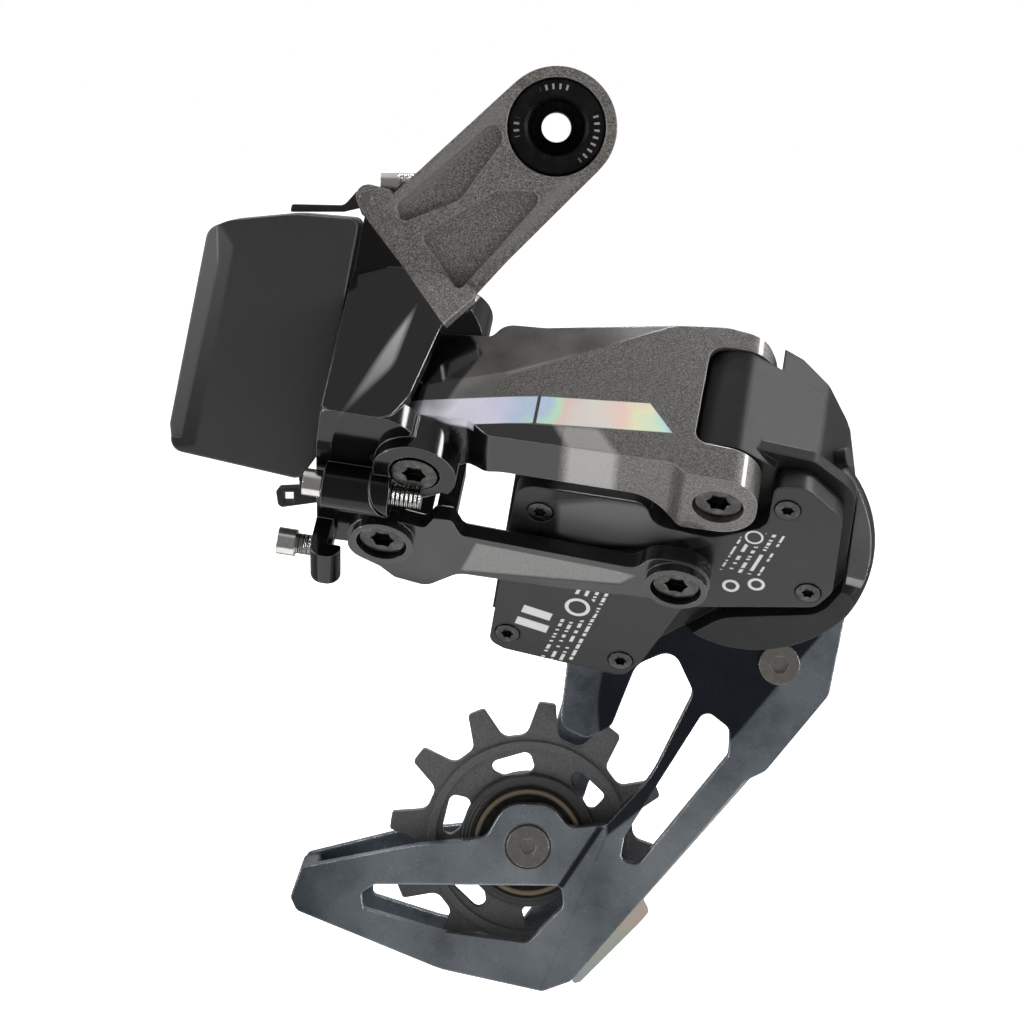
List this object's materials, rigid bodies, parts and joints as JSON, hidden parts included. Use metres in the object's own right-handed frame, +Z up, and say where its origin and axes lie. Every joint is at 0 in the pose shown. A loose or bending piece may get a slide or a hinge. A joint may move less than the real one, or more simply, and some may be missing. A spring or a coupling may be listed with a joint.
{
  "type": "rear bicycle derailleur",
  "caption": "Rear bicycle derailleur: hanger knuckle, slanted parallelogram links, motor module, clip-on battery, sprung cage with toothed guide and tension pulleys.",
  "frame": {"origin": "on the hanger bolt's axis, in the plane where the derailleur seats on the frame's hanger", "axes": "+Y along the hanger bolt towards the wheel, +Z up, +X towards the front of the bicycle"},
  "size_m": [0.13, 0.0617, 0.1778],
  "materials": {
    "anodised_blue_grey": "satin",
    "bearing_bronze": "satin",
    "black_aluminium": "satin",
    "bolt_steel": "satin",
    "bright_steel": "brushed",
    "circuit_board": "matte",
    "flake_paint": "satin",
    "gloss_black": "gloss",
    "light_grey_aluminium": "satin",
    "polished_aluminium": "polished",
    "pulley_plastic": "satin",
    "rubber_seal": "matte",
    "satin_black_plastic": "satin"
  },
  "bodies": {
    "hanger_mount": {"hanger_bolt": "black_aluminium", "hanger_bushing": "bearing_bronze", "stop_washer": "bright_steel"},
    "knuckle": {"b_knuckle": "flake_paint", "outer_pin_rear": "bolt_steel", "inner_pin_rear": "bolt_steel", "latch_pin": "bright_steel", "battery_catch": "satin_black_plastic"},
    "b_adjuster": {"b_adjust_screw": "bright_steel"},
    "high_limit": {"high_limit_screw": "bright_steel"},
    "low_limit": {"low_limit_screw": "bright_steel"},
    "battery": {"battery_case": "satin_black_plastic", "battery_cell": "bright_steel"},
    "latch": {"battery_latch": "satin_black_plastic"},
    "outer_link": {"outer_link": "flake_paint", "outer_link_bushings": "bearing_bronze", "outer_pin_front": "bolt_steel", "drive_gear": "bearing_bronze"},
    "inner_link": {"inner_link": "gloss_black", "inner_link_bushing": "bearing_bronze"},
    "p_knuckle": {"p_knuckle": "satin_black_plastic", "p_knuckle_bushings": "bearing_bronze", "inner_pin_front": "bolt_steel", "module_cover": "satin_black_plastic", "cover_gasket": "rubber_seal", "cover_screws": "bolt_steel", "control_board": "circuit_board", "drive_motor": "bright_steel", "cage_spring": "bright_steel", "damper_body": "black_aluminium", "drum_seal": "rubber_seal", "drum_badge": "light_grey_aluminium"},
    "motor_shaft": {"drive_worm": "bright_steel"},
    "button": {"function_button": "satin_black_plastic"},
    "cage": {"cage_axle": "bright_steel", "outer_cage_plate": "anodised_blue_grey", "inner_cage_plate": "anodised_blue_grey", "cage_trim_strip": "polished_aluminium", "cage_stop_screw": "bolt_steel", "guide_bearing_race": "bright_steel", "guide_axle_sleeve": "black_aluminium", "guide_dust_shields": "bearing_bronze", "guide_pulley_bolt": "bolt_steel", "tension_bearing_race": "bright_steel", "tension_axle_sleeve": "black_aluminium", "tension_dust_shields": "bearing_bronze", "tension_pulley_bolt": "bolt_steel"},
    "guide_wheel": {"guide_pulley": "pulley_plastic", "guide_bearing_balls": "bright_steel"},
    "tension_wheel": {"tension_pulley": "pulley_plastic", "tension_bearing_balls": "bright_steel"}
  },
  "joints": [
    {"name": "hanger_pivot", "type": "hinge", "parent": "hanger_mount", "child": "knuckle", "pos_m": [0, 0, 0], "axis": [0, 1, 0], "range_deg": [-5, 5]},
    {"name": "b_adjust_travel", "type": "slide", "parent": "knuckle", "child": "b_adjuster", "axis": [1, 0, 0], "range_m": [-0.001, 0.001]},
    {"name": "high_limit_travel", "type": "slide", "parent": "knuckle", "child": "high_limit", "axis": [0.987, -0.0685, -0.1453], "range_m": [-0.002, 0]},
    {"name": "low_limit_travel", "type": "slide", "parent": "knuckle", "child": "low_limit", "axis": [0.987, -0.0685, -0.1453], "range_m": [-0.0015, 0]},
    {"name": "battery_tip", "type": "hinge", "parent": "knuckle", "child": "battery", "pos_m": [-0.0464, -0.0135, -0.0646], "axis": [0, -1, 0], "range_deg": [0, 30]},
    {"name": "latch_swing", "type": "hinge", "parent": "knuckle", "child": "latch", "pos_m": [-0.035, -0.014, -0.0129], "axis": [0, 1, 0], "range_deg": [0, 60]},
    {"name": "link_swing", "type": "hinge", "parent": "knuckle", "child": "outer_link", "pos_m": [-0.02269, -0.02212, -0.04856], "axis": [0.153, 0.6763, 0.7206], "range_deg": [-2, 58]},
    {"name": "inner_link_swing", "type": "hinge", "parent": "knuckle", "child": "inner_link", "pos_m": [-0.03115, -0.01796, -0.07147], "axis": [0.153, 0.6763, 0.7206], "range_deg": [-2, 58]},
    {"name": "p_knuckle_swing", "type": "hinge", "parent": "outer_link", "child": "p_knuckle", "pos_m": [0.0312, -0.02585, -0.05649], "axis": [0.153, 0.6763, 0.7206], "range_deg": [-58, 2]},
    {"name": "worm_spin", "type": "hinge", "parent": "p_knuckle", "child": "motor_shaft", "pos_m": [0.03091, -0.01565, -0.06325], "axis": [0.987, -0.0685, -0.1453], "range_deg": [-44, 1276]},
    {"name": "button_press", "type": "slide", "parent": "p_knuckle", "child": "button", "axis": [-0.8803, 0.4247, -0.2117], "range_m": [0, 0.0008], "stiffness_N_per_m": 800, "springref_m": -0.0004},
    {"name": "cage_swing", "type": "hinge", "parent": "p_knuckle", "child": "cage", "pos_m": [0.0373, 0.003, -0.0762], "axis": [0, -1, 0], "range_deg": [0, 115], "stiffness_Nm_per_rad": 0.35, "springref_deg": -68.75},
    {"name": "guide_spin", "type": "hinge", "parent": "cage", "child": "guide_wheel", "pos_m": [0.0275, 0.011, -0.072], "axis": [0, 1, 0], "continuous": true},
    {"name": "tension_spin", "type": "hinge", "parent": "cage", "child": "tension_wheel", "pos_m": [-0.0053, 0.011, -0.1381], "axis": [0, 1, 0], "continuous": true}
  ],
  "couplings": [
    {"joint": "b_adjust_travel", "follows": "hanger_pivot", "m_per_rad": 0.0104},
    {"joint": "inner_link_swing", "follows": "link_swing", "ratio": 1},
    {"joint": "p_knuckle_swing", "follows": "link_swing", "ratio": -1},
    {"joint": "worm_spin", "follows": "link_swing", "ratio": 22}
  ]
}
